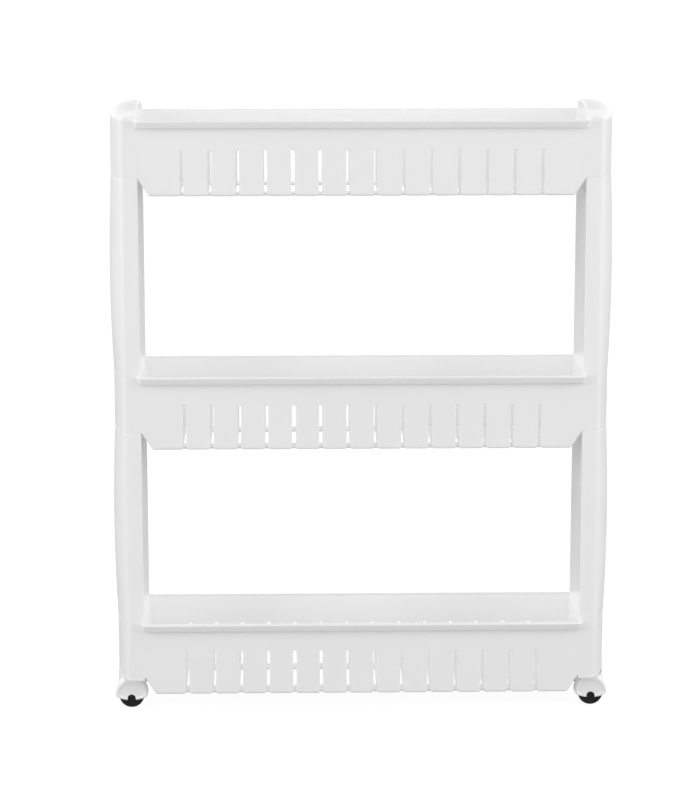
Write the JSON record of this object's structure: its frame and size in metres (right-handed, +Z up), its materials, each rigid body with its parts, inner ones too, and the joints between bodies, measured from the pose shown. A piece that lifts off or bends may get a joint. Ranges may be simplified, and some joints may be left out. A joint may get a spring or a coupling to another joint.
{
  "type": "rolling pantry cart",
  "caption": "Slim rolling pantry cart: slotted trays on hollow end panels with domed caps and fixed casters.",
  "frame": {"origin": "on the floor under the middle of the cart's bounding box", "axes": "+Z up, X along the cart's length and its rolling direction, the long sides face -Y (front) and +Y"},
  "size_m": [0.578, 0.127, 0.711],
  "materials": {
    "tray_plastic": "semi-gloss white moulded polypropylene",
    "panel_plastic": "semi-gloss white moulded polypropylene",
    "hood_plastic": "semi-gloss off-white moulded plastic",
    "wheel_plastic": "satin black moulded plastic",
    "clip_plastic": "satin black moulded plastic",
    "pin_steel": "zinc plated"
  },
  "bodies": {
    "root": {"tray_bottom": "tray_plastic", "tray_middle": "tray_plastic", "tray_top": "tray_plastic", "upright_lower_left": "panel_plastic", "upright_upper_left": "panel_plastic", "end_cap_left": "panel_plastic", "foot_left": "panel_plastic", "upright_lower_right": "panel_plastic", "upright_upper_right": "panel_plastic", "end_cap_right": "panel_plastic", "foot_right": "panel_plastic", "caster_hood_front_left": "hood_plastic", "axle_front_left": "pin_steel", "caster_stem_front_left": "pin_steel", "axle_clip_outer_front_left": "clip_plastic", "axle_clip_inner_front_left": "clip_plastic", "caster_hood_back_left": "hood_plastic", "axle_back_left": "pin_steel", "caster_stem_back_left": "pin_steel", "axle_clip_outer_back_left": "clip_plastic", "axle_clip_inner_back_left": "clip_plastic", "caster_hood_front_right": "hood_plastic", "axle_front_right": "pin_steel", "caster_stem_front_right": "pin_steel", "axle_clip_outer_front_right": "clip_plastic", "axle_clip_inner_front_right": "clip_plastic", "caster_hood_back_right": "hood_plastic", "axle_back_right": "pin_steel", "caster_stem_back_right": "pin_steel", "axle_clip_outer_back_right": "clip_plastic", "axle_clip_inner_back_right": "clip_plastic"},
    "wheel_front_left": {"wheel_front_left": "wheel_plastic"},
    "wheel_back_left": {"wheel_back_left": "wheel_plastic"},
    "wheel_front_right": {"wheel_front_right": "wheel_plastic"},
    "wheel_back_right": {"wheel_back_right": "wheel_plastic"}
  },
  "joints": [
    {"name": "wheel_front_left_spin", "type": "hinge", "parent": "root", "child": "wheel_front_left", "pos_m": [-0.27, -0.03, 0.01442], "axis": [0, 1, 0], "continuous": true},
    {"name": "wheel_back_left_spin", "type": "hinge", "parent": "root", "child": "wheel_back_left", "pos_m": [-0.27, 0.03, 0.01442], "axis": [0, 1, 0], "continuous": true},
    {"name": "wheel_front_right_spin", "type": "hinge", "parent": "root", "child": "wheel_front_right", "pos_m": [0.27, -0.03, 0.01442], "axis": [0, 1, 0], "continuous": true},
    {"name": "wheel_back_right_spin", "type": "hinge", "parent": "root", "child": "wheel_back_right", "pos_m": [0.27, 0.03, 0.01442], "axis": [0, 1, 0], "continuous": true}
  ]
}
